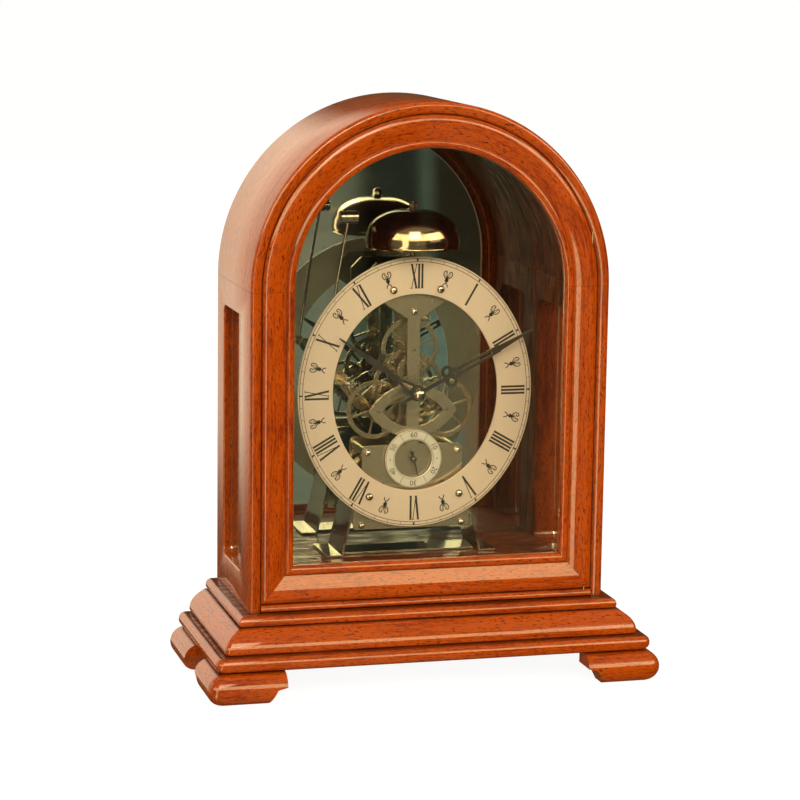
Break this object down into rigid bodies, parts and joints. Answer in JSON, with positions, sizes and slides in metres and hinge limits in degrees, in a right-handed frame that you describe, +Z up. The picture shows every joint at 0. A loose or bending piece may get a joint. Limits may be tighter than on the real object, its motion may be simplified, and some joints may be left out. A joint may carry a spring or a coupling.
{
  "type": "skeleton mantel clock",
  "caption": "Round-top wooden mantel clock with a glazed front door, mirror back, open skeleton movement, oval chapter ring, seconds ring and a bell strike.",
  "frame": {"origin": "on the floor, under the middle of the clock", "axes": "+Z up; the clock faces -Y; +X to the viewer's right"},
  "size_m": [0.292, 0.131, 0.3653],
  "materials": {
    "wood": "glossy orange-red lacquered hardwood",
    "glass": "clear polished",
    "mirror": "silvered glass",
    "board": "stained backing board",
    "nickel": "satin nickel plate",
    "brass": "polished",
    "steel": "polished",
    "dial": "fine brushed champagne lacquer",
    "silver": "circular brushed",
    "black": "satin black",
    "bronze": "dark polished bronze"
  },
  "bodies": {
    "root": {"case_arch": "wood", "case_side_left": "wood", "case_side_right": "wood", "case_bottom": "wood", "plinth_bead": "wood", "plinth_ovolo": "wood", "plinth_torus": "wood", "foot_front_left": "wood", "foot_front_right": "wood", "foot_back_left": "wood", "foot_back_right": "wood", "side_glass_left": "glass", "side_glass_right": "glass", "mirror": "mirror", "back_board": "board", "front_plate": "nickel", "back_plate": "brass", "pillar_top": "brass", "pillar_upper_left": "brass", "pillar_upper_right": "brass", "pillar_lower_left": "brass", "pillar_lower_right": "brass", "door_pivot_lower": "brass", "door_pivot_upper": "brass", "leg_left": "steel", "leg_right": "steel", "seat_strap": "steel", "dial_stud_1": "steel", "dial_stud_2": "steel", "dial_stud_3": "steel", "dial_stud_4": "steel", "bell_post": "steel", "bell_nut": "steel", "chapter_ring": "dial", "seconds_ring": "silver", "bell": "bronze"},
    "door": {"door_arch": "wood", "door_stile_left": "wood", "door_stile_right": "wood", "door_rail": "wood", "door_glass": "glass"},
    "minute_arbor": {"centre_wheel": "brass", "minute_hand": "black", "hand_nut": "steel"},
    "hour_pipe": {"hour_wheel": "brass", "hour_hand": "black"},
    "motion_wheel": {"motion_wheel": "brass"},
    "third_wheel": {"third_wheel": "brass"},
    "seconds_arbor": {"seconds_arbor": "steel", "seconds_hand": "black"},
    "fourth_wheel": {"fourth_wheel": "brass"},
    "escape_wheel": {"escape_wheel": "steel"},
    "pallet_fork": {"pallet_fork": "steel"},
    "balance_wheel": {"balance_wheel": "brass"},
    "intermediate_wheel": {"intermediate_wheel": "brass"},
    "going_barrel": {"going_barrel": "brass"},
    "strike_wheel": {"strike_wheel": "brass"},
    "strike_barrel": {"strike_barrel": "brass"},
    "strike_fly": {"strike_fly": "steel"},
    "hammer": {"hammer": "steel"}
  },
  "joints": [
    {"name": "door_hinge", "type": "hinge", "parent": "root", "child": "door", "pos_m": [0.1035, -0.0325, 0.16], "axis": [0, 0, 1], "range_deg": [0, 105]},
    {"name": "minute_turn", "type": "hinge", "parent": "root", "child": "minute_arbor", "pos_m": [0, 0, 0.1801], "axis": [0, 1, 0], "continuous": true},
    {"name": "hour_turn", "type": "hinge", "parent": "root", "child": "hour_pipe", "pos_m": [0, 0, 0.1801], "axis": [0, 1, 0], "continuous": true},
    {"name": "motion_turn", "type": "hinge", "parent": "root", "child": "motion_wheel", "pos_m": [0, 0, 0.1921], "axis": [0, 1, 0], "continuous": true},
    {"name": "third_turn", "type": "hinge", "parent": "root", "child": "third_wheel", "pos_m": [0, 0, 0.154], "axis": [0, 1, 0], "continuous": true},
    {"name": "seconds_turn", "type": "hinge", "parent": "root", "child": "seconds_arbor", "pos_m": [0, 0, 0.1364], "axis": [0, 1, 0], "continuous": true},
    {"name": "fourth_turn", "type": "hinge", "parent": "root", "child": "fourth_wheel", "pos_m": [0, 0, 0.2062], "axis": [0, 1, 0], "continuous": true},
    {"name": "escape_turn", "type": "hinge", "parent": "root", "child": "escape_wheel", "pos_m": [0.0105, 0, 0.22468], "axis": [0, 1, 0], "continuous": true},
    {"name": "intermediate_turn", "type": "hinge", "parent": "root", "child": "intermediate_wheel", "pos_m": [0.02249, 0, 0.16696], "axis": [0, 1, 0], "continuous": true},
    {"name": "going_barrel_turn", "type": "hinge", "parent": "root", "child": "going_barrel", "pos_m": [0.02, 0, 0.1188], "axis": [0, 1, 0], "continuous": true},
    {"name": "pallet_swing", "type": "hinge", "parent": "root", "child": "pallet_fork", "pos_m": [0.0112, 0, 0.2366], "axis": [0, 1, 0], "range_deg": [-4, 4]},
    {"name": "balance_swing", "type": "hinge", "parent": "root", "child": "balance_wheel", "pos_m": [0.012, 0, 0.2498], "axis": [0, 1, 0], "range_deg": [-140, 140]},
    {"name": "strike_turn", "type": "hinge", "parent": "root", "child": "strike_wheel", "pos_m": [-0.02249, 0, 0.16696], "axis": [0, 1, 0], "continuous": true},
    {"name": "fly_turn", "type": "hinge", "parent": "root", "child": "strike_fly", "pos_m": [-0.03751, 0, 0.18199], "axis": [0, 1, 0], "continuous": true},
    {"name": "strike_barrel_turn", "type": "hinge", "parent": "root", "child": "strike_barrel", "pos_m": [-0.02, 0, 0.1188], "axis": [0, 1, 0], "continuous": true},
    {"name": "hammer_swing", "type": "hinge", "parent": "root", "child": "hammer", "pos_m": [-0.054, 0, 0.2008], "axis": [0, -1, 0], "range_deg": [0, 12]}
  ],
  "couplings": [
    {"joint": "hour_turn", "follows": "minute_turn", "ratio": 0.083333},
    {"joint": "motion_turn", "follows": "minute_turn", "ratio": -0.33333},
    {"joint": "third_turn", "follows": "minute_turn", "ratio": -8},
    {"joint": "seconds_turn", "follows": "minute_turn", "ratio": 60},
    {"joint": "fourth_turn", "follows": "minute_turn", "ratio": -8},
    {"joint": "escape_turn", "follows": "minute_turn", "ratio": 60},
    {"joint": "intermediate_turn", "follows": "minute_turn", "ratio": -0.38889},
    {"joint": "going_barrel_turn", "follows": "minute_turn", "ratio": 0.035714},
    {"joint": "fly_turn", "follows": "strike_turn", "ratio": -7.5},
    {"joint": "strike_barrel_turn", "follows": "strike_turn", "ratio": -0.011111}
  ]
}
